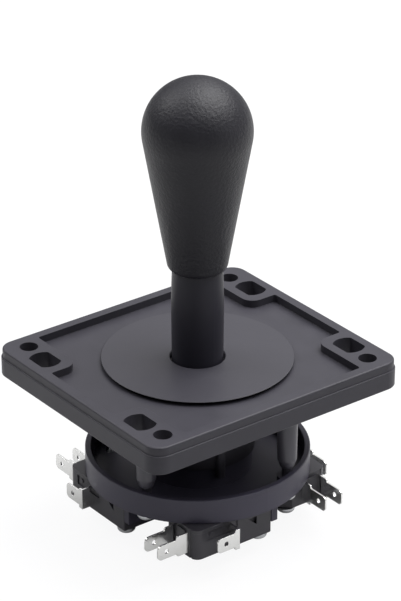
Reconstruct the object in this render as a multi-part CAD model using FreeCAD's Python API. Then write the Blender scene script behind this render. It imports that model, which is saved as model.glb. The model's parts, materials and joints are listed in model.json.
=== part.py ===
import FreeCAD, Part
import math
import os
from FreeCAD import Vector

# Bat-top arcade joystick for fixing under a control panel.
# Millimetres. +Z runs up along the upright stick. The origin is on the stick's axis in the
# plane of the mounting plate's top rim. X runs along the plate's slots, Y along its long side.

# ---- driving dimensions -------------------------------------------------------------------
PLATE_X = 79.3               # mounting plate, overall
PLATE_Y = 89.7
PLATE_T = 8.5
PLATE_CORNER_R = 5.2
LEDGE_DEPTH = 2.7            # step round the plate's side wall, below the top
LEDGE_STEP = 0.4
RIM_W = 3.2                  # flat rim round the recess
RECESS_DEPTH = 2.4
SKIN_T = 3.0                 # plate wall below the recess
BOSS_X = 15.5                # corner bosses reach in to these lines
BOSS_Y = 31.7
HOLE_AT = (32.8, 37.15)      # round fixing holes
HOLE_R = 2.75
SLOT_AT = (23.3, 38.0)       # slots with round ends and two flats
SLOT_R = 4.75
SLOT_HALF_W = 3.45
SLOT_CORNER_R = 0.8
PLATE_BORE_R = 10.4

PIVOT_Z = -15.0              # centre of the pivot ball
BALL_R = 9.5
BALL_NECK_R = 6.0
BALL_FLAT = 6.5              # the ball is cut flat this far below its centre
SOCKET_BORE_R = 8.2
RETAINER_BORE_R = 7.9
RETAINER_H = 5.6
RUNNING = 0.05               # radial running clearance
PRESSED = 0.01               # radial gap left where one piece is pressed into another

GROMMET_RIM_IN_R = 10.6      # inside of the grommet's thick rim
GROMMET_WEB_R = (7.4, 9.6)   # the thin web between rim and sleeve
GROMMET_SLEEVE_R = 6.8

SHAFT_R = 4.75
SHAFT_TOP = 64.0
SHAFT_END = -54.0
GROOVE_R = 3.6               # groove for the snap ring
GROOVE_W = 0.9
BAT_R = 15.9
BAT_CENTRE_Z = 70.5
BAT_TAPER = 10.0             # degrees, half angle of the grip's cone
BAT_FOOT_Z = 27.8
BAT_FOOT_ROUND = 2.0         # height of the rounding at the foot
SLEEVE_NECK_R = 7.4
SLEEVE_BELLY_R = 7.7
SLEEVE_FOOT_R = 7.55
SLEEVE_FOOT_Z = -3.6

WASHER_R = 28.3              # dust washer, sliding in the recess
WASHER_TOP = -1.0
WASHER_T = 0.5
WASHER_BORE_R = 8.0
WASHER_EDGE = 0.12           # rounding of the upper outer edge
WASHER_UNDERCUT = 0.4        # the edge slopes in below it
SLIP_R = 25.0                # thin slip washer below it
SLIP_T = 0.8
SLIP_BORE_R = 9.3
FACE_GAP = 0.04              # between faces that slide on each other

HUB_R = 17.0                 # tube below the plate that holds the pivot
HUB_BORE_R = 13.05
HUB_END = -30.0
HUB_RIB_W = 2.6
HUB_RIB_OUT = 1.8
HUB_RIB_END = -32.4
HUB_RIB_ANGLE = -15.0

POST_AT = (11.75, -27.6)     # first of four standoff posts
POST_TOP_R = 3.1
POST_KNEE_R = 2.9            # where the post starts to narrow
POST_KNEE_Z = -27.0
POST_SHOULDER_R = 2.0
POST_SHOULDER = -29.7
SPIGOT_R = 1.5               # thin end that stands on the base
POST_END = -32.6

DISH_R = 33.4                # base housing
DISH_WALL = 1.8
DISH_RIM = -30.45
DISH_BOTTOM = -38.3
DISH_FLOOR_T = 1.8
DISH_BORE_R = 14.2
COLLAR_R = 16.4
COLLAR_TOP = -30.1
COLLAR_LIP_T = 1.5
COLLAR_LIP_BORE_R = 10.5
PAD_R = 2.9                  # pads under the posts
PAD_DROP = 0.3
STOP_T = 2.2                 # walls under the dish that locate the plunger ends of the switches
STOP_H = 6.6

ACTUATOR_R = 7.9
ACTUATOR_NECK_R = 6.4
ACTUATOR_TOP = -32.2
ACTUATOR_SHOULDER = -38.0
ACTUATOR_END = -49.5
RING_WASHER_R = 7.0
RING_WASHER_T = 1.0
RING_R = 6.6
RING_INNER_R = 5.1
RING_LAND_W = 2.2
RING_GAP_W = 4.4

SWITCH_X = (-23.7, 4.1)      # V-type switch case: 27.8 x 15.9 x 9.8
SWITCH_Y = (-30.1, -14.2)
SWITCH_TOP = DISH_BOTTOM
SWITCH_T = 9.8
SWITCH_WALL = 1.6
SWITCH_COVER_T = 1.1
SWITCH_AXIS_Z = SWITCH_TOP - 4.45    # height of the plunger and of the middle of each tab
SWITCH_BOTTOM = SWITCH_TOP - SWITCH_T
SWITCH_HOLES = ((1.3, -27.3), (-20.9, -17.0))    # 22.2 x 10.3 apart
SWITCH_HOLE_R = 1.55
PLUNGER_X = -1.0
PLUNGER_R = 1.45
PLUNGER_TIP_Y = -11.7
PLUNGER_TRAVEL = 1.2
BLADE_Y = -22.5              # inward face of the snap blade
BLADE_T = 0.3
CONTACT_X = -19.6
FIXED_CONTACT_R = 1.2
NO_CONTACT_H = 1.7
NC_CONTACT_H = 0.7
MOVING_CONTACT_R = 1.1
MOVING_CONTACT_H = (0.74, 1.2)       # towards the closed and the open contact
HOOK_X = (1.4, 1.9)          # end of the common terminal that the snap blade bears on
SWITCH_CORNER_R = 2.6
CORNER_GROOVE = (0.35, -27.75)       # radius and Y of the upright groove beside the rounded corner
WINDOW_X = (-19.4, -8.4)     # shallow window in the outer face behind the common tab
WINDOW_DEPTH = 0.35
WINDOW_DROP = (1.2, 4.4)     # its top and end below the top of the switch
RIVET_AT = (-17.6, 2.8)      # X, and distance below the top of the switch
RIVET_R = 0.8
POCKET_X = (-4.4, -1.3)      # three-cornered pocket near the stop
POCKET_DROP = (2.5, 5.2)
END_PAD_Y = (-25.6, -22.0)   # pad on the end wall between the two end tabs
PLUNGER_GUIDE_R = 2.6
PLUNGER_GUIDE_H = 0.9
ARM_W = 3.6                  # strips inside the switch
SNAP_BLADE_W = 3.2

TAB_W = 4.75                 # quick-connect blade
TAB_T = 0.5
TAB_ROOT_W = 6.6
TAB_HOLE_R = 0.75
TAB_HOLE_IN = 3.1            # hole centre to blade tip
TAB_TIP_R = 1.3
NO_TAB_Y = -26.9
NC_TAB_Y = -20.8
END_TAB_TIP_X = -34.9
END_TAB_SHOULDER_X = -28.0
COM_TAB_Y = -34.2
COM_TAB_ROOT_X = -10.9
COM_TAB_SHOULDER_X = -12.6
COM_TAB_TIP_X = -18.9

BASE_SCREW_R = 0.95
BASE_SCREW_TIP = -24.5
SWITCH_SCREW_R = 1.4
SCREW_HEAD_R = 2.75
SCREW_HEAD_H = 1.7
SCREW_RECESS = 0.9

UP = Vector(0, 0, 1)
os.makedirs("parts", exist_ok=True)


# ---- small helpers ------------------------------------------------------------------------
def box(x, y, z):
    """A box between pairs of coordinates."""
    size = [max(pair) - min(pair) for pair in (x, y, z)]
    return Part.makeBox(*size, Vector(min(x), min(y), min(z)))


def rod(radius, z, at=(0, 0)):
    """A cylinder along Z between two heights."""
    low, high = min(z), max(z)
    return Part.makeCylinder(radius, high - low, Vector(at[0], at[1], low))


def tube(outer, inner, z, at=(0, 0)):
    return rod(outer, z, at).cut(rod(inner, z, at))


def cone(low_r, high_r, z, at=(0, 0)):
    low, high = min(z), max(z)
    return Part.makeCone(low_r, high_r, high - low, Vector(at[0], at[1], low))


def arc(start, middle, end):
    """An arc in the XZ plane through three (radius, height) points."""
    points = [Vector(r, 0, z) for r, z in (start, middle, end)]
    return Part.Arc(*points).toShape()


def line(start, end):
    return Part.makeLine(Vector(start[0], 0, start[1]), Vector(end[0], 0, end[1]))


def turned(edges):
    """The solid that a closed outline in the XZ plane makes when it is turned round Z."""
    face = Part.Face(Part.Wire(Part.__sortEdges__(edges)))
    return face.revolve(Vector(0, 0, 0), UP, 360)


def turned_outline(points):
    closed = points + points[:1]
    return turned([line(a, b) for a, b in zip(closed, closed[1:])])


def spun(shape, degrees):
    copy = shape.copy()
    copy.rotate(Vector(0, 0, 0), UP, degrees)
    return copy


def four(shape):
    """The shape and its three copies a quarter turn apart."""
    return [spun(shape, 90 * i) for i in range(4)]


def mirrored_corners(at):
    return [(sx * at[0], sy * at[1]) for sx in (-1, 1) for sy in (-1, 1)]


def fused(shapes):
    first, *rest = shapes
    return first.multiFuse(rest).removeSplitter() if rest else first


def upright_edges(shape, wanted):
    """Edges parallel to Z whose foot passes the test."""
    found = []
    for edge in shape.Edges:
        if len(edge.Vertexes) < 2:
            continue
        a, b = (v.Point for v in edge.Vertexes)
        if abs(a.x - b.x) < 1e-6 and abs(a.y - b.y) < 1e-6 and wanted(a):
            found.append(edge)
    return found


def level_edges(shape, z):
    """Edges that lie in the plane at height z."""
    found = []
    for edge in shape.Edges:
        low, high = edge.BoundBox.ZMin, edge.BoundBox.ZMax
        if abs(low - z) < 1e-4 and abs(high - z) < 1e-4:
            found.append(edge)
    return found


def rounded_block(size_x, size_y, corner_r, z):
    block = box((-size_x / 2, size_x / 2), (-size_y / 2, size_y / 2), z)
    return block.makeFillet(corner_r, upright_edges(block, lambda p: True))


def save(node, *solids):
    shape = solids[0] if len(solids) == 1 else Part.makeCompound(list(solids))
    shape.exportStep(f"parts/{node}.step")


# ---- mounting plate -----------------------------------------------------------------------
def cross_block(margin, z, inner_r):
    """The plate's inside between the rim and the four corner bosses, pulled in by margin."""
    half_x = PLATE_X / 2 - LEDGE_STEP - RIM_W - margin
    half_y = PLATE_Y / 2 - LEDGE_STEP - RIM_W - margin
    boss_x, boss_y = BOSS_X - margin, BOSS_Y - margin
    wide = box((-half_x, half_x), (-boss_y, boss_y), z)
    long = box((-boss_x, boss_x), (-half_y, half_y), z)
    cross = fused([wide, long])
    inner = upright_edges(cross, lambda p: abs(p.x) < boss_x + 0.1 and abs(p.y) < boss_y + 0.1)
    cross = cross.makeFillet(inner_r, inner)
    outer = upright_edges(cross, lambda p: abs(p.x) > half_x - 0.1 or abs(p.y) > half_y - 0.1)
    return cross.makeFillet(0.8, outer)


def fixing_holes():
    z = (1, -PLATE_T - 1)
    tools = [rod(HOLE_R, z, at) for at in mirrored_corners(HOLE_AT)]
    for x, y in mirrored_corners(SLOT_AT):
        flats = box((x - SLOT_R, x + SLOT_R), (y - SLOT_HALF_W, y + SLOT_HALF_W), z)
        slot = rod(SLOT_R, z, (x, y)).common(flats)
        corners = upright_edges(slot, lambda p: abs(p.y - y) > 1)
        tools.append(slot.makeFillet(SLOT_CORNER_R, corners))
    return tools


def plate_body():
    top_x, top_y = PLATE_X - 2 * LEDGE_STEP, PLATE_Y - 2 * LEDGE_STEP
    lower = rounded_block(PLATE_X, PLATE_Y, PLATE_CORNER_R, (-PLATE_T, -LEDGE_DEPTH))
    upper = rounded_block(top_x, top_y, PLATE_CORNER_R - LEDGE_STEP, (-LEDGE_DEPTH, 0))
    lower = lower.makeFillet(0.5, level_edges(lower, -PLATE_T))
    lower = lower.makeFillet(0.75 * LEDGE_STEP, level_edges(lower, -LEDGE_DEPTH))
    upper = upper.makeFillet(0.55, level_edges(upper, 0))
    body = lower.fuse(upper)
    body = body.cut(cross_block(0, (-RECESS_DEPTH, 1), 4.0))
    return body.cut(rod(PLATE_BORE_R, (1, -PLATE_T - 1)))


def underside_pocket():
    skin_z = -RECESS_DEPTH - SKIN_T
    pocket = cross_block(0.3, (-PLATE_T - 1, skin_z), 3.0)
    kept = [rod(HUB_R, (0, -PLATE_T - 1))]
    kept += four(rod(POST_TOP_R + 1.4, (0, -PLATE_T - 1), POST_AT))
    kept += four(box((0, PLATE_Y / 2), (-1.0, 1.0), (0, -PLATE_T - 1)))
    return pocket.cut(fused(kept))


def hub():
    skin_z = -RECESS_DEPTH - SKIN_T
    body = tube(HUB_R, HUB_BORE_R, (skin_z, HUB_END))
    rib_x = (HUB_R - 0.5, HUB_R + HUB_RIB_OUT)
    rib = box(rib_x, (-HUB_RIB_W / 2, HUB_RIB_W / 2), (skin_z - 0.5, HUB_RIB_END))
    rib = rib.makeFillet(1.0, upright_edges(rib, lambda p: p.x > HUB_R))
    return [body] + four(spun(rib, HUB_RIB_ANGLE))


def mounting_plate():
    plate = plate_body().cut(underside_pocket())
    plate = fused([plate] + hub())
    plate = plate.cut(rod(HUB_BORE_R, (-RECESS_DEPTH - SKIN_T, HUB_END - 5)))
    for tool in fixing_holes():
        plate = plate.cut(tool)
    return plate


def standoff_posts():
    upper = cone(POST_KNEE_R, POST_TOP_R, (POST_KNEE_Z, -PLATE_T), POST_AT)
    lower = cone(POST_SHOULDER_R, POST_KNEE_R, (POST_SHOULDER, POST_KNEE_Z), POST_AT)
    post = upper.fuse(lower)
    post = post.makeFillet(0.6, level_edges(post, POST_SHOULDER))
    post = post.fuse(rod(SPIGOT_R, (POST_END, POST_SHOULDER + 0.5), POST_AT))
    return four(post.cut(rod(BASE_SCREW_R + PRESSED, (POST_END - 1, BASE_SCREW_TIP + 0.5), POST_AT)))


# ---- stick --------------------------------------------------------------------------------
def bat_handle():
    """A ball blended into a cone, with a rounded foot."""
    slope = math.radians(BAT_TAPER)
    join = (BAT_R * math.cos(slope), BAT_CENTRE_Z - BAT_R * math.sin(slope))
    foot_start_z = BAT_FOOT_Z + BAT_FOOT_ROUND
    foot_start = (join[0] - (join[1] - foot_start_z) * math.tan(slope), foot_start_z)
    foot_end = (SLEEVE_NECK_R + 0.3, BAT_FOOT_Z)
    foot_middle = (foot_start[0] - 0.42, BAT_FOOT_Z + 0.75)
    crown = (BAT_R * math.cos(math.radians(40)), BAT_CENTRE_Z + BAT_R * math.sin(math.radians(40)))
    top = (0, BAT_CENTRE_Z + BAT_R)
    bat = turned([
        arc(top, crown, join),
        line(join, foot_start),
        arc(foot_start, foot_middle, foot_end),
        line(foot_end, (0, BAT_FOOT_Z)),
        line((0, BAT_FOOT_Z), top),
    ])
    return bat.cut(rod(SHAFT_R + PRESSED, (BAT_FOOT_Z - 1, SHAFT_TOP)))


def shaft_sleeve():
    bore = SHAFT_R + PRESSED
    neck = (SLEEVE_NECK_R, BAT_FOOT_Z)
    middle = (SLEEVE_NECK_R + 0.22, 21.5)
    belly = (SLEEVE_BELLY_R, 15.5)
    foot = (SLEEVE_FOOT_R, SLEEVE_FOOT_Z)
    return turned([
        arc(neck, middle, belly),
        line(belly, foot),
        line(foot, (bore, SLEEVE_FOOT_Z)),
        line((bore, SLEEVE_FOOT_Z), (bore, BAT_FOOT_Z)),
        line((bore, BAT_FOOT_Z), neck),
    ])


def steel_shaft():
    shaft = rod(SHAFT_R, (SHAFT_END, SHAFT_TOP))
    shaft = shaft.makeChamfer(0.6, level_edges(shaft, SHAFT_END))
    groove_top = ACTUATOR_END - RING_WASHER_T
    return shaft.cut(tube(SHAFT_R + 1, GROOVE_R, (groove_top - GROOVE_W, groove_top)))


def pivot_ball():
    """A ball with a neck that carries the sleeve, cut flat below, running on the shaft."""
    ball = Part.makeSphere(BALL_R, Vector(0, 0, PIVOT_Z))
    ball = ball.common(rod(BALL_R + 1, (PIVOT_Z - BALL_FLAT, PIVOT_Z + BALL_R)))
    neck = rod(BALL_NECK_R, (PIVOT_Z, SLEEVE_FOOT_Z - FACE_GAP))
    bore = rod(SHAFT_R + RUNNING, (PIVOT_Z - BALL_R - 1, 0))
    return ball.fuse(neck).removeSplitter().cut(bore)


def actuator():
    bore = SHAFT_R + PRESSED
    return turned_outline([
        (bore, ACTUATOR_TOP),
        (ACTUATOR_NECK_R, ACTUATOR_TOP),
        (ACTUATOR_NECK_R, ACTUATOR_SHOULDER),
        (ACTUATOR_R - 0.6, ACTUATOR_SHOULDER),
        (ACTUATOR_R, ACTUATOR_SHOULDER - 0.6),
        (ACTUATOR_R, ACTUATOR_END + 2.0),
        (ACTUATOR_R - 1.2, ACTUATOR_END),
        (bore, ACTUATOR_END),
    ])


def retaining_washer():
    return tube(RING_WASHER_R, SHAFT_R + RUNNING, (ACTUATOR_END - RING_WASHER_T, ACTUATOR_END))


def retaining_ring():
    """An open ring snapped into the shaft's groove, with three inward lands."""
    groove_top = ACTUATOR_END - RING_WASHER_T
    z = (groove_top - GROOVE_W + RUNNING, groove_top - FACE_GAP)
    land = box((GROOVE_R + RUNNING, RING_INNER_R + 0.5), (-RING_LAND_W / 2, RING_LAND_W / 2), z)
    ring = fused([tube(RING_R, RING_INNER_R, z)] + [spun(land, angle) for angle in (0, 120, 240)])
    gap = box((-RING_R - 1, 0), (-RING_GAP_W / 2, RING_GAP_W / 2), z)
    return ring.cut(gap)


# ---- pivot --------------------------------------------------------------------------------
def pivot_socket():
    """Upper seat: a ring pressed into the hub, hollowed to the ball."""
    top = -RECESS_DEPTH - SKIN_T - RUNNING
    seat = Part.makeSphere(BALL_R + RUNNING, Vector(0, 0, PIVOT_Z))
    return tube(HUB_BORE_R - PRESSED, SOCKET_BORE_R, (PIVOT_Z, top)).cut(seat)


def ball_retainer():
    """Lower seat, which keeps the ball up in the socket."""
    seat = Part.makeSphere(BALL_R + RUNNING, Vector(0, 0, PIVOT_Z))
    ring = tube(HUB_BORE_R - PRESSED, RETAINER_BORE_R, (PIVOT_Z - RETAINER_H, PIVOT_Z))
    return ring.cut(seat)


def centering_grommet():
    """Rubber ring with a thick rim, a thin web and a sleeve that grips the shaft."""
    bore, rim = SHAFT_R + RUNNING, HUB_BORE_R - 0.1
    top, end = PIVOT_Z - RETAINER_H - 0.1, COLLAR_TOP + 0.1
    web_top, web_end = top - 3.4, end + 1.8
    sleeve_top = top - 2.3
    web_in, web_out = GROMMET_WEB_R
    return turned_outline([
        (rim, top),
        (GROMMET_RIM_IN_R, top),
        (web_out, web_top),
        (web_in, web_top),
        (GROMMET_SLEEVE_R, sleeve_top),
        (bore, sleeve_top),
        (bore, end),
        (GROMMET_SLEEVE_R, end),
        (web_in, web_end),
        (web_out, web_end),
        (GROMMET_RIM_IN_R, end),
        (rim, end),
    ])


# ---- washers in the recess ----------------------------------------------------------------
def dust_washer():
    low = WASHER_TOP - WASHER_T
    return turned_outline([
        (WASHER_BORE_R, low),
        (WASHER_BORE_R, WASHER_TOP - 0.3),
        (WASHER_BORE_R + 0.3, WASHER_TOP),
        (WASHER_R - WASHER_EDGE, WASHER_TOP),
        (WASHER_R, WASHER_TOP - WASHER_EDGE),
        (WASHER_R - WASHER_UNDERCUT, low),
    ])


def slip_washer():
    top = WASHER_TOP - WASHER_T - FACE_GAP
    return tube(SLIP_R, SLIP_BORE_R, (top - SLIP_T, top))


# ---- base housing -------------------------------------------------------------------------
def switch_stop():
    """Wall that locates the plunger end of a switch."""
    x0 = SWITCH_X[1] + 0.1
    end = DISH_BOTTOM - STOP_H
    wall = box((x0, x0 + STOP_T), (SWITCH_Y[0], SWITCH_Y[1] - 2.0), (DISH_BOTTOM, end))
    return wall.makeFillet(0.4, level_edges(wall, end))


def dish_shell():
    floor_top = DISH_BOTTOM + DISH_FLOOR_T
    outer = rod(DISH_R, (DISH_RIM, DISH_BOTTOM))
    outer = outer.makeFillet(0.25, level_edges(outer, DISH_BOTTOM))
    shell = outer.cut(rod(DISH_R - DISH_WALL, (floor_top, DISH_RIM + 1)))
    return shell.makeFillet(0.3, level_edges(shell, DISH_RIM))


def base_housing():
    floor_top = DISH_BOTTOM + DISH_FLOOR_T
    solids = [dish_shell()]
    solids.append(rod(COLLAR_R, (floor_top - 0.5, COLLAR_TOP)))
    pad = rod(PAD_R, (DISH_BOTTOM - PAD_DROP, POST_END - PRESSED), POST_AT)
    solids += four(pad.common(rod(DISH_R - 0.5, (DISH_BOTTOM - PAD_DROP, DISH_RIM))))
    solids += four(switch_stop())
    body = fused(solids)
    body = body.cut(rod(DISH_BORE_R, (COLLAR_TOP - COLLAR_LIP_T, DISH_BOTTOM - 1)))
    body = body.cut(rod(COLLAR_LIP_BORE_R, (COLLAR_TOP + 1, DISH_BOTTOM)))
    through = (DISH_RIM, DISH_BOTTOM - 1)
    holes = four(rod(BASE_SCREW_R + 0.15, through, POST_AT))
    for at in SWITCH_HOLES:
        holes += four(rod(SWITCH_SCREW_R + PRESSED, through, at))
    for hole in holes:
        body = body.cut(hole)
    return body


# ---- screws -------------------------------------------------------------------------------
def pan_screw(at, seat_z, tip_z, shank_r):
    """Pan head below its seat with a cross recess, and a plain shank up to the tip."""
    low = seat_z - SCREW_HEAD_H
    head = rod(SCREW_HEAD_R, (low, seat_z), at)
    head = head.makeFillet(0.75 * SCREW_HEAD_H, level_edges(head, low))
    shank = rod(shank_r, (seat_z - 0.5, tip_z - 1.2), at)
    tip = cone(shank_r, 0.4, (tip_z - 1.2, tip_z), at)
    screw = head.fuse(shank).fuse(tip).removeSplitter()
    x, y = at
    recess = (low - 1, low + SCREW_RECESS)
    for half_x, half_y in ((1.7, 0.35), (0.35, 1.7)):
        screw = screw.cut(box((x - half_x, x + half_x), (y - half_y, y + half_y), recess))
    return screw


def base_screws():
    return four(pan_screw(POST_AT, DISH_BOTTOM - PAD_DROP, BASE_SCREW_TIP, BASE_SCREW_R))


def switch_screws():
    tip = DISH_BOTTOM + DISH_FLOOR_T + 0.5
    screws = []
    for at in SWITCH_HOLES:
        screws += four(pan_screw(at, SWITCH_BOTTOM, tip, SWITCH_SCREW_R))
    return screws


# ---- switch, modelled on the -Y side ------------------------------------------------------
def case_outline(z):
    """The case's outer block: rounded outside corners, and a cut corner by the end tabs."""
    block = box(SWITCH_X, SWITCH_Y, z)
    block = block.makeFillet(SWITCH_CORNER_R, upright_edges(block, lambda p: p.x < -20 and p.y < -20))
    block = block.makeChamfer(3.0, upright_edges(block, lambda p: p.x < -20 and p.y > -15))
    block = block.makeFillet(0.4, upright_edges(block, lambda p: p.x > 3))
    groove_r, groove_y = CORNER_GROOVE
    return block.cut(rod(groove_r, z, (SWITCH_X[0], groove_y)))


def switch_bosses(z):
    return [rod(SWITCH_HOLE_R + 1.1, z, at) for at in SWITCH_HOLES]


def end_tab_slot(y):
    """Slot in the end wall, open upward until the cover closes it."""
    half_t = TAB_T / 2 + PRESSED
    z = (SWITCH_AXIS_Z - TAB_ROOT_W / 2 - PRESSED, SWITCH_TOP)
    return box((SWITCH_X[0] - 1, SWITCH_X[0] + 3), (y - half_t, y + half_t), z)


def com_tab_slot():
    half_t = TAB_T / 2 + PRESSED
    z = (SWITCH_AXIS_Z - TAB_ROOT_W / 2 - PRESSED, SWITCH_TOP)
    x = COM_TAB_ROOT_X - TAB_T / 2
    return box((x - half_t, x + half_t), (SWITCH_Y[0] - 1, SWITCH_Y[0] + 3), z)


def outer_face_relief():
    """Shallow window behind the common tab and a three-cornered pocket near the stop."""
    face = SWITCH_Y[0]
    window_z = [SWITCH_TOP - drop for drop in WINDOW_DROP]
    window = box(WINDOW_X, (face - 1, face + WINDOW_DEPTH), window_z)
    near, far = POCKET_X
    top, end = POCKET_DROP
    corners = [(near, top), (far, top), (far, end), (near, top)]
    points = [Vector(x, face - 1, SWITCH_TOP - drop) for x, drop in corners]
    pocket = Part.Face(Part.makePolygon(points)).extrude(Vector(0, 2.0, 0))
    return [window, pocket]


def switch_case():
    cover_z = SWITCH_TOP - SWITCH_COVER_T
    wall = SWITCH_WALL
    case = case_outline((SWITCH_BOTTOM, cover_z))
    case = case.makeFillet(0.35, level_edges(case, SWITCH_BOTTOM))
    inside_x = (SWITCH_X[0] + wall, SWITCH_X[1] - wall)
    inside_y = (SWITCH_Y[0] + wall, SWITCH_Y[1] - wall)
    cavity = box(inside_x, inside_y, (SWITCH_BOTTOM + wall, cover_z + 1))
    cavity = cavity.makeFillet(2.6, upright_edges(cavity, lambda p: p.x < -20 and p.y > -16))
    cavity = cavity.cut(fused(switch_bosses((SWITCH_BOTTOM, SWITCH_TOP))))
    case = case.cut(cavity)
    along = Vector(0, 1, 0)
    guide_at = Vector(PLUNGER_X, SWITCH_Y[1], SWITCH_AXIS_Z)
    guide = Part.makeCylinder(PLUNGER_GUIDE_R, PLUNGER_GUIDE_H, guide_at, along)
    rivet_at = Vector(RIVET_AT[0], SWITCH_Y[0] + 0.1, SWITCH_TOP - RIVET_AT[1])
    rivet = Part.makeCylinder(RIVET_R, WINDOW_DEPTH, rivet_at, along)
    end_pad = box((SWITCH_X[0] - 0.5, SWITCH_X[0] + 1), END_PAD_Y, (SWITCH_BOTTOM + 0.8, cover_z))
    case = fused([case, guide, end_pad])
    for tool in outer_face_relief() + [end_tab_slot(NO_TAB_Y), end_tab_slot(NC_TAB_Y)]:
        case = case.cut(tool)
    case = case.fuse(rivet).cut(com_tab_slot())
    bore_at = Vector(PLUNGER_X, SWITCH_Y[1] - wall - 1, SWITCH_AXIS_Z)
    case = case.cut(Part.makeCylinder(PLUNGER_R + RUNNING, wall + 5, bore_at, along))
    for at in SWITCH_HOLES:
        case = case.cut(rod(SWITCH_HOLE_R, (SWITCH_BOTTOM - 1, SWITCH_TOP), at))
    return case


def switch_cover():
    cover = case_outline((SWITCH_TOP - SWITCH_COVER_T + 0.01, SWITCH_TOP - 0.01))
    for at in SWITCH_HOLES:
        cover = cover.cut(rod(SWITCH_HOLE_R, (SWITCH_BOTTOM - 1, SWITCH_TOP + 1), at))
    return cover


def switch_plunger():
    """Pin with a domed tip outside the case and a stop flange inside it."""
    inner_wall = SWITCH_Y[1] - SWITCH_WALL
    along = Vector(0, 1, 0)
    back = Vector(PLUNGER_X, BLADE_Y + PLUNGER_TRAVEL + 0.1, SWITCH_AXIS_Z)
    pin = Part.makeCylinder(PLUNGER_R, PLUNGER_TIP_Y - back.y, back, along)
    tip_edges = [e for e in pin.Edges if abs(e.BoundBox.YMin - PLUNGER_TIP_Y) < 1e-4]
    pin = pin.makeFillet(0.7, tip_edges)
    flange_at = Vector(PLUNGER_X, inner_wall - 1.0, SWITCH_AXIS_Z)
    flange = Part.makeCylinder(PLUNGER_R + 0.8, 0.95, flange_at, along)
    return pin.fuse(flange).removeSplitter()


def blade_z(width):
    return (SWITCH_AXIS_Z - width / 2, SWITCH_AXIS_Z + width / 2)


def cross_edges_at(shape, x):
    """Edges that run through a tab's thickness at its end."""
    return [e for e in shape.Edges if e.BoundBox.XMax < x + 0.01 and e.BoundBox.YLength > TAB_T / 2
            and e.BoundBox.ZLength < 0.01]


def flat_tab(tip_x, shoulder_x, root_x, y):
    """Blade in a plane of constant Y that points to -X: narrow end, wider root, one hole."""
    thick = (y - TAB_T / 2, y + TAB_T / 2)
    blade = box((tip_x, shoulder_x), thick, blade_z(TAB_W))
    blade = blade.makeFillet(TAB_TIP_R, cross_edges_at(blade, tip_x))
    root = box((shoulder_x, root_x), thick, blade_z(TAB_ROOT_W))
    root = root.makeFillet(0.4, cross_edges_at(root, shoulder_x))
    hole_at = Vector(tip_x + TAB_HOLE_IN, y - 1, SWITCH_AXIS_Z)
    hole = Part.makeCylinder(TAB_HOLE_R, 2, hole_at, Vector(0, 1, 0))
    return fused([blade, root]).cut(hole)


def end_terminal(y, contact_side, contact_h):
    """End tab, carried inside to a fixed contact that faces the moving blade."""
    tab = flat_tab(END_TAB_TIP_X, END_TAB_SHOULDER_X, SWITCH_X[0] + SWITCH_WALL + 1.2, y)
    contact_at = Vector(CONTACT_X, y + contact_side * TAB_T / 2, SWITCH_AXIS_Z)
    toward_blade = Vector(0, contact_side, 0)
    contact = Part.makeCylinder(FIXED_CONTACT_R, contact_h, contact_at, toward_blade)
    arm_x = (SWITCH_X[0] + SWITCH_WALL, CONTACT_X + FIXED_CONTACT_R)
    arm = box(arm_x, (y - TAB_T / 2, y + TAB_T / 2), blade_z(ARM_W))
    return fused([tab, arm, contact])


def common_terminal():
    """Tab that stands off the outer face, turns along it, and carries the blade inside."""
    blade = flat_tab(COM_TAB_TIP_X, COM_TAB_SHOULDER_X, COM_TAB_ROOT_X, COM_TAB_Y)
    outer = COM_TAB_Y - TAB_T / 2
    foot_y = BLADE_Y - BLADE_T - 0.8
    leg_x = (COM_TAB_ROOT_X - TAB_T, COM_TAB_ROOT_X)
    leg = box(leg_x, (outer, foot_y), blade_z(TAB_ROOT_W))
    bend = upright_edges(leg, lambda p: p.x > leg_x[0] + 0.1 and p.y < outer + 0.1)
    leg = leg.makeFillet(TAB_T - 0.05, bend)
    foot = box((leg_x[0], HOOK_X[1]), (foot_y - TAB_T, foot_y), blade_z(ARM_W))
    hook = box(HOOK_X, (foot_y - TAB_T, BLADE_Y - BLADE_T - 0.02), blade_z(ARM_W))
    return fused([blade, leg, foot, hook])


def snap_blade():
    """Springy strip from the common hook to the moving contact."""
    outer = BLADE_Y - BLADE_T
    strip = box((CONTACT_X - MOVING_CONTACT_R, HOOK_X[1]), (outer, BLADE_Y), blade_z(SNAP_BLADE_W))
    pieces = [strip]
    for height, face_y, side in zip(MOVING_CONTACT_H, (BLADE_Y, outer), (1, -1)):
        at = Vector(CONTACT_X, face_y, SWITCH_AXIS_Z)
        pieces.append(Part.makeCylinder(MOVING_CONTACT_R, height, at, Vector(0, side, 0)))
    return fused(pieces)


def build():
    save("mounting_plate", mounting_plate())
    save("standoff_posts", *standoff_posts())
    save("pivot_socket", pivot_socket())
    save("ball_retainer", ball_retainer())
    save("base_housing", base_housing())
    save("base_screws", *base_screws())
    save("switch_screws", *switch_screws())
    save("slip_washer", slip_washer())
    save("dust_washer", dust_washer())
    save("centering_grommet", centering_grommet())
    save("pivot_ball", pivot_ball())
    save("steel_shaft", steel_shaft())
    save("shaft_sleeve", shaft_sleeve())
    save("bat_handle", bat_handle())
    save("actuator", actuator())
    save("retaining_washer", retaining_washer())
    save("retaining_ring", retaining_ring())
    pieces = {
        "case": switch_case(),
        "cover": switch_cover(),
        "plunger": switch_plunger(),
        "terminal_no": end_terminal(NO_TAB_Y, 1, NO_CONTACT_H),
        "terminal_nc": end_terminal(NC_TAB_Y, -1, NC_CONTACT_H),
        "terminal_com": common_terminal(),
        "snap_blade": snap_blade(),
    }
    for side, angle in (("front", 0), ("right", 90), ("back", 180), ("left", 270)):
        for piece, shape in pieces.items():
            save(f"switch_{side}_{piece}", spun(shape, angle))


build()
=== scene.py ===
import json
import math

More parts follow.
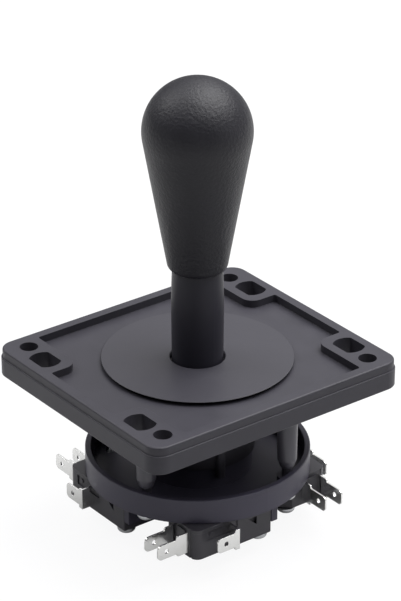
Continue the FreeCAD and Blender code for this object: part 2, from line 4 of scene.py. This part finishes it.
import bmesh
import bpy
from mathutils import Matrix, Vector


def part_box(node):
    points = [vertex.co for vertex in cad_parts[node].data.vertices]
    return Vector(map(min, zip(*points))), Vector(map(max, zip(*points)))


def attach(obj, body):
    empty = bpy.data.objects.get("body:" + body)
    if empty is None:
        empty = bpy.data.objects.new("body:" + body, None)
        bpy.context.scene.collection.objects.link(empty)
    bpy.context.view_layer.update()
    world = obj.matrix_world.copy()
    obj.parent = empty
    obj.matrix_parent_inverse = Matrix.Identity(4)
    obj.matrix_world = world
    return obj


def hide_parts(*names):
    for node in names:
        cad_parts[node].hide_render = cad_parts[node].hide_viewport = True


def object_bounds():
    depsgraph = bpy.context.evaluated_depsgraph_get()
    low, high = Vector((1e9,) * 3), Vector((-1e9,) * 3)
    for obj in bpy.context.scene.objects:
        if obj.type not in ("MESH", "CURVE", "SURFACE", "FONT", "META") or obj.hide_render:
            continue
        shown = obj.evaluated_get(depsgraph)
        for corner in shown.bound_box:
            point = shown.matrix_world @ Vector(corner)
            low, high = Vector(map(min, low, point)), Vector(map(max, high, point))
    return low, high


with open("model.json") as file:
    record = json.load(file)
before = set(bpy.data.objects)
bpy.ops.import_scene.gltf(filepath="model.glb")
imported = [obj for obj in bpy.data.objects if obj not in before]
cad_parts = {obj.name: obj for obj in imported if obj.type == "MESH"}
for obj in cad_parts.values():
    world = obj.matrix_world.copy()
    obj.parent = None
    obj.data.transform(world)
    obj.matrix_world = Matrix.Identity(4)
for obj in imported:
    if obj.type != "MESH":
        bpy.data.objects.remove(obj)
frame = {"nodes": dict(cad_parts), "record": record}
cad_low, cad_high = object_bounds()

# Bat-top arcade joystick. Lengths are in metres, in the frame of the CAD model:
# +Z up the stick, the origin in the plane of the mounting plate's top rim.
MM = 0.001

# ---- settings of the camera, floor and light -----------------------------------------------
CAMERA_AZIMUTH = 52.72       # degrees, 0 looks along +Y
CAMERA_ELEVATION = 28.05
CAMERA_DISTANCE = 0.8839
CAMERA_LENS = 181.3
AIM_UP = 17.0 * MM           # the camera looks at a point this far up the stick's axis
AIM_RIGHT = 0.85 * MM        # and this far to its own right of it
CLIP_START = 0.01
CLIP_END = 20.0

WHITE = (0.97, 0.97, 0.975, 1.0)
FLOOR_DROP = 0.6 * MM        # floor below the lowest point of the part
FLOOR_SIZE = 6.0
FLOOR_GLOW = 0.95            # strength of the pale floor as the camera sees it
FLOOR_SHADOW_TONE = 0.07     # how strongly a shadow shows on it
FLOOR_BOUNCE = 0.42          # its tone for light that it throws back on the part
FLOOR_IN_GLOSS = 0.54        # its tone in the part's reflections

FRONT_SPREAD = (0.25, 0.85)  # where the dim front side of the surroundings starts and ends
FRONT_HEIGHT = (0.85, 0.55)  # it fades out between these heights
FRONT_LEVEL = 0.12
HORIZON_HEIGHT = (0.18, 0.47)    # between these, the first level below goes over to the second
HORIZON_LEVEL = 0.16
SKY_LEVEL = 1.22
LEFT_LEVEL = 0.40            # the surroundings are brighter to the camera's right
RIGHT_LEVEL = 1.35

SOFTBOX_DISTANCE = 1.0
KEY_LIGHT = {"turn": 118, "elevation": 68, "size": 0.9, "power": 16.0}
LEFT_LIGHT = {"turn": -113, "elevation": 46, "size": 0.5, "power": 4.0}


# ---- shader nodes --------------------------------------------------------------------------
def add(tree, kind, **settings):
    """A new node with its properties set."""
    made = tree.nodes.new(kind)
    for name, value in settings.items():
        setattr(made, name, value)
    return made


def wire(tree, source, target):
    """Links an output socket to an input socket."""
    tree.links.new(source, target)


def math_node(tree, operation, a, b):
    """The output of a math node. Each operand is a number or an output socket."""
    made = add(tree, "ShaderNodeMath", operation=operation)
    for socket, operand in zip(made.inputs, (a, b)):
        if isinstance(operand, (int, float)):
            socket.default_value = operand
        else:
            wire(tree, operand, socket)
    return made.outputs[0]


def map_range(tree, value, low, high, new_low=0.0, new_high=1.0):
    """A smooth step from new_low to new_high as the value goes from low to high."""
    made = add(tree, "ShaderNodeMapRange", interpolation_type="SMOOTHSTEP", clamp=True)
    wire(tree, value, made.inputs["Value"])
    made.inputs["From Min"].default_value = low
    made.inputs["From Max"].default_value = high
    made.inputs["To Min"].default_value = new_low
    made.inputs["To Max"].default_value = new_high
    return made.outputs["Result"]


def noise(tree, coordinates, size, detail=2.0, roughness=0.5):
    """Noise from 0 to 1 whose features are about size metres across."""
    made = add(tree, "ShaderNodeTexNoise")
    wire(tree, coordinates, made.inputs["Vector"])
    made.inputs["Scale"].default_value = 1.0 / size
    made.inputs["Detail"].default_value = detail
    made.inputs["Roughness"].default_value = roughness
    return made.outputs["Fac"]


def mix_colour(tree, factor, a, b):
    """Colour a where the factor is 0 and b where it is 1. Each is a colour or a socket."""
    made = add(tree, "ShaderNodeMix", data_type="RGBA")
    wire(tree, factor, made.inputs["Factor"])
    for socket, operand in ((made.inputs[6], a), (made.inputs[7], b)):
        if isinstance(operand, tuple):
            socket.default_value = operand
        else:
            wire(tree, operand, socket)
    return made.outputs[2]


def grey(value, tint=(1.0, 1.0, 1.0)):
    """An opaque colour of one value, shifted by a tint."""
    return (value * tint[0], value * tint[1], value * tint[2], 1.0)


def scaled(colour, factor):
    """A colour made lighter or darker, and no brighter than white."""
    return tuple(min(1.0, channel * factor) for channel in colour[:3]) + (1.0,)


# ---- materials -----------------------------------------------------------------------------
EDGE_STARTS = 0.995          # cosine of the normal's turn where an edge starts to show
EDGE_FULL = 0.80
EDGE_RUB_AND_HIGHLIGHT = 0.6           # how far edges go towards the paler colour: rubbed wear and a painted edge highlight in one
EDGE_RUB_AND_HIGHLIGHT_PALER = 1.7
GLOSS_DRIFT = 0.07           # how far the roughness of plastic drifts either way
EDGE_RADIUS = 0.12 * MM
WASHER_EDGE_RADIUS = 0.1 * MM
WASHER_RINGS = 1.1 * MM      # the faint rings on a washer are about a third of this apart
GRAIN_CELL = 0.9 * MM        # the bat's grain
GRAIN_DEPTH = 0.12 * MM


def new_material(name):
    """A material with one Principled shader, and its node tree and that shader."""
    made = bpy.data.materials.new(name)
    made.use_nodes = True
    tree = made.node_tree
    tree.nodes.clear()
    output = add(tree, "ShaderNodeOutputMaterial")
    shader = add(tree, "ShaderNodeBsdfPrincipled")
    wire(tree, shader.outputs["BSDF"], output.inputs["Surface"])
    return made, tree, shader


def edge_mask(tree, radius):
    """A mask that is 1 along edges and 0 on flat ground, and the rounded normal behind it."""
    rounded = add(tree, "ShaderNodeBevel", samples=4)
    rounded.inputs["Radius"].default_value = radius
    flat = add(tree, "ShaderNodeNewGeometry")
    alike = add(tree, "ShaderNodeVectorMath", operation="DOT_PRODUCT")
    wire(tree, rounded.outputs["Normal"], alike.inputs[0])
    wire(tree, flat.outputs["Normal"], alike.inputs[1])
    mask = map_range(tree, alike.outputs["Value"], EDGE_STARTS, EDGE_FULL)
    return mask, rounded.outputs["Normal"]


def bump(tree, height, depth, strength, normal=None):
    """A normal that is raised by height, over a depth in metres."""
    made = add(tree, "ShaderNodeBump")
    wire(tree, height, made.inputs["Height"])
    made.inputs["Distance"].default_value = depth
    made.inputs["Strength"].default_value = strength
    if normal is not None:
        wire(tree, normal, made.inputs["Normal"])
    return made.outputs["Normal"]


def moulded_plastic(name, colour, worn, roughness, grain, depth, cloud=12 * MM, specular=0.5):
    """Moulded plastic: fine grain, cloudy gloss, and slightly paler edges that are rubbed wear and
    a painted edge highlight.
    """
    made, tree, shader = new_material(name)
    where = add(tree, "ShaderNodeTexCoord").outputs["Object"]
    clouds = noise(tree, where, cloud, detail=4.0, roughness=0.6)
    fine = noise(tree, where, grain, detail=3.0, roughness=0.65)
    edges, rounded = edge_mask(tree, EDGE_RADIUS)
    mottled = mix_colour(tree, clouds, colour, worn)
    # Paler edges: rubbed wear together with a painted highlight along every edge.
    rub_and_highlight = math_node(tree, "MULTIPLY", edges, map_range(tree, fine, 0.35, 0.65, 0.3, 1.0))
    rub_and_highlight = math_node(tree, "MULTIPLY", rub_and_highlight, EDGE_RUB_AND_HIGHLIGHT)
    pale = scaled(worn, EDGE_RUB_AND_HIGHLIGHT_PALER)
    wire(tree, mix_colour(tree, rub_and_highlight, mottled, pale), shader.inputs["Base Color"])
    gloss = math_node(tree, "MULTIPLY_ADD", clouds, 2 * GLOSS_DRIFT)
    gloss.node.inputs[2].default_value = roughness - GLOSS_DRIFT
    wire(tree, gloss, shader.inputs["Roughness"])
    shader.inputs["IOR"].default_value = 1.5
    shader.inputs["Specular IOR Level"].default_value = specular
    wire(tree, bump(tree, fine, depth, 1.0, rounded), shader.inputs["Normal"])
    return made


def grained_grip(name):
    """Soft-feel bat: crinkled leather-like grain that breaks up the highlight."""
    made, tree, shader = new_material(name)
    where = add(tree, "ShaderNodeTexCoord").outputs["Object"]
    cells = add(tree, "ShaderNodeTexVoronoi", feature="SMOOTH_F1")
    warp = noise(tree, where, 1.6 * MM, detail=2.0)
    moved = add(tree, "ShaderNodeVectorMath", operation="MULTIPLY_ADD")
    wire(tree, warp, moved.inputs[0])
    moved.inputs[1].default_value = (0.6 * MM, 0.6 * MM, 0.3 * MM)
    wire(tree, where, moved.inputs[2])
    wire(tree, moved.outputs[0], cells.inputs["Vector"])
    cells.inputs["Scale"].default_value = 1.0 / GRAIN_CELL
    cells.inputs["Smoothness"].default_value = 0.6
    fine = noise(tree, where, 0.35 * MM, detail=3.0, roughness=0.6)
    height = math_node(tree, "ADD", cells.outputs["Distance"], fine)
    clouds = noise(tree, where, 9 * MM, detail=4.0)
    tone = mix_colour(tree, clouds, grey(0.011, (1, 0.97, 1.3)), grey(0.019, (1, 0.97, 1.25)))
    wire(tree, tone, shader.inputs["Base Color"])
    wire(tree, map_range(tree, clouds, 0.2, 0.8, 0.40, 0.50), shader.inputs["Roughness"])
    shader.inputs["Specular IOR Level"].default_value = 0.3
    wire(tree, bump(tree, height, GRAIN_DEPTH, 0.8), shader.inputs["Normal"])
    return made


def turned_sheet(name, colour, roughness, specular=0.5):
    """Washer stock: smooth sheet with faint rings about the stick's axis, and a painted highlight
    along its edges.
    """
    made, tree, shader = new_material(name)
    where = add(tree, "ShaderNodeTexCoord").outputs["Object"]
    rings = add(tree, "ShaderNodeTexWave", wave_type="RINGS", rings_direction="Z")
    wire(tree, where, rings.inputs["Vector"])
    rings.inputs["Scale"].default_value = 1.0 / WASHER_RINGS
    rings.inputs["Distortion"].default_value = 1.5
    fine = noise(tree, where, 0.3 * MM, detail=3.0)
    clouds = noise(tree, where, 10 * MM, detail=3.0)
    shader.inputs["Specular IOR Level"].default_value = specular
    edges, rounded = edge_mask(tree, WASHER_EDGE_RADIUS)
    # The edges go to a paler grey: a painted edge highlight.
    wire(tree, mix_colour(tree, edges, colour, grey(0.05)), shader.inputs["Base Color"])
    gloss = map_range(tree, clouds, 0.2, 0.8, roughness - 0.05, roughness + 0.05)
    wire(tree, gloss, shader.inputs["Roughness"])
    height = math_node(tree, "ADD", math_node(tree, "MULTIPLY", rings.outputs["Fac"], 0.15), fine)
    wire(tree, bump(tree, height, 0.012 * MM, 1.0, rounded), shader.inputs["Normal"])
    return made


def plated_metal(name, colour, dull, roughness):
    """Plated or ground metal: cloudy tone, fine drawn lines and soft edges."""
    made, tree, shader = new_material(name)
    where = add(tree, "ShaderNodeTexCoord").outputs["Object"]
    squeezed = add(tree, "ShaderNodeMapping")
    wire(tree, where, squeezed.inputs["Vector"])
    squeezed.inputs["Scale"].default_value = (1.0, 1.0, 6.0)
    lines = noise(tree, squeezed.outputs["Vector"], 0.6 * MM, detail=4.0)
    clouds = noise(tree, where, 3 * MM, detail=4.0, roughness=0.6)
    _, rounded = edge_mask(tree, EDGE_RADIUS)
    wire(tree, mix_colour(tree, clouds, colour, dull), shader.inputs["Base Color"])
    shader.inputs["Metallic"].default_value = 1.0
    gloss = map_range(tree, clouds, 0.2, 0.8, roughness - 0.06, roughness + 0.08)
    wire(tree, gloss, shader.inputs["Roughness"])
    wire(tree, bump(tree, lines, 0.02 * MM, 0.5, rounded), shader.inputs["Normal"])
    return made


def natural_acetal(name, colour):
    """Undyed acetal: waxy and slightly cloudy."""
    made, tree, shader = new_material(name)
    where = add(tree, "ShaderNodeTexCoord").outputs["Object"]
    clouds = noise(tree, where, 4 * MM, detail=3.0)
    fine = noise(tree, where, 0.3 * MM)
    wire(tree, mix_colour(tree, clouds, colour, scaled(colour, 0.85)), shader.inputs["Base Color"])
    wire(tree, map_range(tree, clouds, 0.2, 0.8, 0.3, 0.42), shader.inputs["Roughness"])
    wire(tree, bump(tree, fine, 0.01 * MM, 0.6), shader.inputs["Normal"])
    return made


# One finish for each material slot of the record.
MATERIALS = {
    "plate_plastic": moulded_plastic(
        "plate_moulding", grey(0.030, (1, 0.96, 1.22)), grey(0.044, (1, 0.96, 1.2)),
        roughness=0.44, grain=0.4 * MM, depth=0.014 * MM, cloud=7 * MM, specular=0.27),
    "base_plastic": moulded_plastic(
        "base_moulding", grey(0.044, (1, 0.93, 1.42)), grey(0.056, (1, 0.93, 1.38)),
        roughness=0.42, grain=0.35 * MM, depth=0.01 * MM, specular=0.34),
    "switch_plastic": moulded_plastic(
        "switch_moulding", grey(0.038, (1, 0.95, 1.16)), grey(0.052, (1, 0.95, 1.14)),
        roughness=0.38, grain=0.5 * MM, depth=0.012 * MM, specular=0.45),
    "sleeve_plastic": moulded_plastic(
        "sleeve_moulding", grey(0.018, (1, 0.95, 1.35)), grey(0.022, (1, 0.95, 1.35)),
        roughness=0.45, grain=0.6 * MM, depth=0.004 * MM, specular=0.25),
    "rubber": moulded_plastic(
        "black_rubber", grey(0.015), grey(0.022),
        roughness=0.65, grain=0.3 * MM, depth=0.02 * MM),
    "plunger_plastic": moulded_plastic(
        "plunger_moulding", (0.35, 0.03, 0.02, 1), (0.42, 0.04, 0.03, 1),
        roughness=0.35, grain=0.3 * MM, depth=0.005 * MM),
    "acetal_sheet": turned_sheet("slip_sheet", grey(0.02), roughness=0.4),
    "washer_plastic": turned_sheet(
        "washer_sheet", grey(0.036, (1, 0.96, 1.22)), roughness=0.46, specular=0.40),
    "grip_plastic": grained_grip("grip_grain"),
    "acetal": natural_acetal("natural_acetal", (0.75, 0.74, 0.70, 1)),
    "shaft_steel": plated_metal("ground_steel", grey(0.6), grey(0.5), roughness=0.25),
    "spring_steel": plated_metal(
        "spring_strip", (0.6, 0.52, 0.4, 1), (0.5, 0.43, 0.33, 1), roughness=0.3),
    "zinc_steel": plated_metal(
        "zinc_plate", (0.70, 0.71, 0.73, 1), (0.58, 0.59, 0.61, 1), roughness=0.3),
    "tin_plate": plated_metal(
        "tin_plate", (0.92, 0.92, 0.91, 1), (0.84, 0.84, 0.83, 1), roughness=0.16),
}

# The posts are smoother than the plate and painted paler to lift them out of the shade under the
# plate, though they share its slot.
POST_PAINTED_LIGHT_FINISH = moulded_plastic(
    "post_moulding_painted_lighter", grey(0.055, (1, 0.96, 1.2)), grey(0.07, (1, 0.96, 1.2)),
    roughness=0.36, grain=0.5 * MM, depth=0.006 * MM)


def dress_cad_nodes():
    """Gives each CAD node the finished material of its slot; the posts get a paler copy of it with
    painted light against the shade under the plate.
    """
    slot_of = {part["node"]: part["material_slot"] for part in frame["record"]["subparts"]}
    for name, thing in frame["nodes"].items():
        finish = POST_PAINTED_LIGHT_FINISH if name == "standoff_posts" else MATERIALS[slot_of[name]]
        thing.data.materials.clear()
        thing.data.materials.append(finish)


# ---- grommet and slip washer ---------------------------------------------------------------
# Rubber flexes as the stick tilts, so the grommet is in three rings that overlap inside one
# another: a rim clamped in the hub, a sleeve that grips the shaft, and a web between the two.
RING_STEPS = 96
RING_ROUNDING = 0.3 * MM
RIM_WALL = 3.0 * MM
RIM_PAST_WEB = 1.75 * MM     # from the web's outer edge, inside the rim, to the rim's outside
WEB_BELOW_TOP = 3.4 * MM
WEB_ABOVE_END = 1.8 * MM
WEB_BORE_GAP = 1.75 * MM     # room for the tilting shaft inside the web's hole
SLEEVE_GAP = 0.1 * MM
SLEEVE_WALL = 3.4 * MM
SLEEVE_BELOW_TOP = 2.3 * MM
SLEEVE_ABOVE_END = 1.1 * MM
SLIP_BORE_GAP = 2.3 * MM     # room for the tilting sleeve in the slip washer's hole
SLIP_ROUNDING = 0.12 * MM


def turned_ring(name, body, slot, radii, heights, rounded=RING_ROUNDING):
    """A ring about the stick's axis, with rounded edges, that rides on a body."""
    (inner, outer), (low, high) = radii, heights
    section = ((inner, low), (outer, low), (outer, high), (inner, high))
    shape = bmesh.new()
    loops = []
    for step in range(RING_STEPS):
        turn = math.tau * step / RING_STEPS
        across, along = math.cos(turn), math.sin(turn)
        loops.append([shape.verts.new((r * across, r * along, z)) for r, z in section])
    for step, loop in enumerate(loops):
        after = loops[(step + 1) % RING_STEPS]
        for corner in range(len(section)):
            other = (corner + 1) % len(section)
            face = shape.faces.new((loop[corner], after[corner], after[other], loop[other]))
            face.smooth = True
    bmesh.ops.recalc_face_normals(shape, faces=shape.faces)
    mesh = bpy.data.meshes.new(name)
    shape.to_mesh(mesh)
    shape.free()
    mesh.materials.append(MATERIALS[slot])
    made = bpy.data.objects.new(name, mesh)
    bpy.context.scene.collection.objects.link(made)
    rounding = made.modifiers.new("rounding", "BEVEL")
    rounding.width = rounded
    rounding.segments = 3
    rounding.limit_method = "ANGLE"
    rounding.harden_normals = True
    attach(made, body)
    return made


def build_grommet():
    """The rim, web and sleeve, each on the body that it moves with."""
    low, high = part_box("centering_grommet")
    shaft_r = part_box("steel_shaft")[1].x
    outer = high.x
    turned_ring("grommet_rim", "mount", "rubber", (outer - RIM_WALL, outer), (low.z, high.z))
    web_heights = (low.z + WEB_ABOVE_END, high.z - WEB_BELOW_TOP)
    web = turned_ring(
        "grommet_web", "grommet", "rubber",
        (shaft_r + WEB_BORE_GAP, outer - RIM_PAST_WEB), web_heights)
    sleeve_r = shaft_r + SLEEVE_GAP
    sleeve_heights = (low.z + SLEEVE_ABOVE_END, high.z - SLEEVE_BELOW_TOP)
    turned_ring(
        "grommet_sleeve", "pivot", "rubber", (sleeve_r, sleeve_r + SLEEVE_WALL), sleeve_heights)
    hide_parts("centering_grommet")


def build_slip_washer():
    """The thin washer under the dust washer, with room in its hole for the tilted sleeve."""
    low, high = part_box("slip_washer")
    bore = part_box("shaft_sleeve")[1].x + SLIP_BORE_GAP
    made = turned_ring(
        "slip_ring", "slip", "acetal_sheet", (bore, high.x), (low.z, high.z), SLIP_ROUNDING)
    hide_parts("slip_washer")


# ---- camera, floor and light ---------------------------------------------------------------
def direction_to(azimuth, elevation):
    """Unit vector from the part towards a place at this azimuth and elevation, in degrees."""
    turn, rise = math.radians(azimuth), math.radians(elevation)
    return Vector((
        math.sin(turn) * math.cos(rise), -math.cos(turn) * math.cos(rise), math.sin(rise)))


def camera_back():
    """Unit vector from the part towards the camera."""
    return direction_to(CAMERA_AZIMUTH, CAMERA_ELEVATION)


def set_camera():
    """A long lens at the angle from which the object is shown."""
    data = bpy.data.cameras.new("camera")
    data.lens = CAMERA_LENS
    data.clip_start, data.clip_end = CLIP_START, CLIP_END
    made = bpy.data.objects.new("camera", data)
    bpy.context.scene.collection.objects.link(made)
    azimuth = math.radians(CAMERA_AZIMUTH)
    right = Vector((math.cos(azimuth), math.sin(azimuth), 0.0))
    aim = Vector((0.0, 0.0, AIM_UP)) + right * AIM_RIGHT
    made.location = camera_back() * CAMERA_DISTANCE
    made.rotation_euler = (aim - made.location).to_track_quat("-Z", "Y").to_euler()
    bpy.context.scene.camera = made


def set_floor():
    """Plain pale floor. The camera sees it glow, and the part is lit by a darker one."""
    half = FLOOR_SIZE / 2
    z = cad_low.z - FLOOR_DROP
    mesh = bpy.data.meshes.new("floor")
    corners = [(-half, -half, z), (half, -half, z), (half, half, z), (-half, half, z)]
    mesh.from_pydata(corners, [], [(0, 1, 2, 3)])
    made = bpy.data.objects.new("floor", mesh)
    bpy.context.scene.collection.objects.link(made)
    material = bpy.data.materials.new("pale_floor")
    material.use_nodes = True
    tree = material.node_tree
    tree.nodes.clear()
    output = add(tree, "ShaderNodeOutputMaterial")
    both = add(tree, "ShaderNodeAddShader")
    glow = add(tree, "ShaderNodeEmission")
    glow.inputs["Color"].default_value = WHITE
    glow.inputs["Strength"].default_value = FLOOR_GLOW
    faint = add(tree, "ShaderNodeBsdfDiffuse")
    faint.inputs["Color"].default_value = grey(FLOOR_SHADOW_TONE)
    wire(tree, glow.outputs[0], both.inputs[0])
    wire(tree, faint.outputs[0], both.inputs[1])
    matt = add(tree, "ShaderNodeBsdfDiffuse")
    seen = add(tree, "ShaderNodeLightPath")
    glossy = seen.outputs["Is Glossy Ray"]
    tone = mix_colour(tree, glossy, grey(FLOOR_BOUNCE), grey(FLOOR_IN_GLOSS))
    wire(tree, tone, matt.inputs["Color"])
    either = add(tree, "ShaderNodeMixShader")
    wire(tree, seen.outputs["Is Camera Ray"], either.inputs[0])
    wire(tree, matt.outputs[0], either.inputs[1])
    wire(tree, both.outputs[0], either.inputs[2])
    wire(tree, either.outputs[0], output.inputs["Surface"])
    mesh.materials.append(material)


def set_world():
    """White backdrop. What lights the part is bright above and behind, and dim in front."""
    world = bpy.data.worlds.new("studio")
    bpy.context.scene.world = world
    world.use_nodes = True
    tree = world.node_tree
    tree.nodes.clear()
    output = add(tree, "ShaderNodeOutputWorld")
    direction = add(tree, "ShaderNodeTexCoord").outputs["Generated"]
    back = camera_back()
    front = Vector((back.x, back.y, 0.0)).normalized()
    towards = add(tree, "ShaderNodeVectorMath", operation="DOT_PRODUCT")
    wire(tree, direction, towards.inputs[0])
    towards.inputs[1].default_value = front
    split = add(tree, "ShaderNodeSeparateXYZ")
    wire(tree, direction, split.inputs[0])
    facing = map_range(tree, towards.outputs["Value"], *FRONT_SPREAD)
    low_down = map_range(tree, split.outputs["Z"], *FRONT_HEIGHT)
    shade = math_node(tree, "MULTIPLY", facing, low_down)
    dimmed = map_range(tree, shade, 0.0, 1.0, 1.0, FRONT_LEVEL)
    sky = map_range(tree, split.outputs["Z"], *HORIZON_HEIGHT, HORIZON_LEVEL, SKY_LEVEL)
    level = math_node(tree, "MULTIPLY", dimmed, sky)
    across = add(tree, "ShaderNodeVectorMath", operation="DOT_PRODUCT")
    wire(tree, direction, across.inputs[0])
    across.inputs[1].default_value = (-front.y, front.x, 0.0)
    sideways = map_range(tree, across.outputs["Value"], -1.0, 1.0, LEFT_LEVEL, RIGHT_LEVEL)
    level = math_node(tree, "MULTIPLY", level, sideways)
    studio = add(tree, "ShaderNodeBackground")
    wire(tree, level, studio.inputs["Strength"])
    backdrop = add(tree, "ShaderNodeBackground")
    backdrop.inputs["Color"].default_value = WHITE
    seen = add(tree, "ShaderNodeLightPath")
    either = add(tree, "ShaderNodeMixShader")
    wire(tree, seen.outputs["Is Camera Ray"], either.inputs[0])
    wire(tree, studio.outputs[0], either.inputs[1])
    wire(tree, backdrop.outputs[0], either.inputs[2])
    wire(tree, either.outputs[0], output.inputs["Surface"])


def softbox(name, turn, elevation, size, power):
    """Square area light that faces the part, turned this far round from the camera."""
    data = bpy.data.lights.new(name, "AREA")
    data.shape = "SQUARE"
    data.size = size
    data.energy = power
    made = bpy.data.objects.new(name, data)
    bpy.context.scene.collection.objects.link(made)
    away = direction_to(CAMERA_AZIMUTH + turn, elevation)
    made.location = away * SOFTBOX_DISTANCE
    made.rotation_euler = away.to_track_quat("Z", "Y").to_euler()


dress_cad_nodes()
build_grommet()
build_slip_washer()
set_camera()
set_floor()
set_world()
softbox("overhead", **KEY_LIGHT)
softbox("left_fill", **LEFT_LIGHT)
bpy.context.scene.view_settings.view_transform = "Standard"
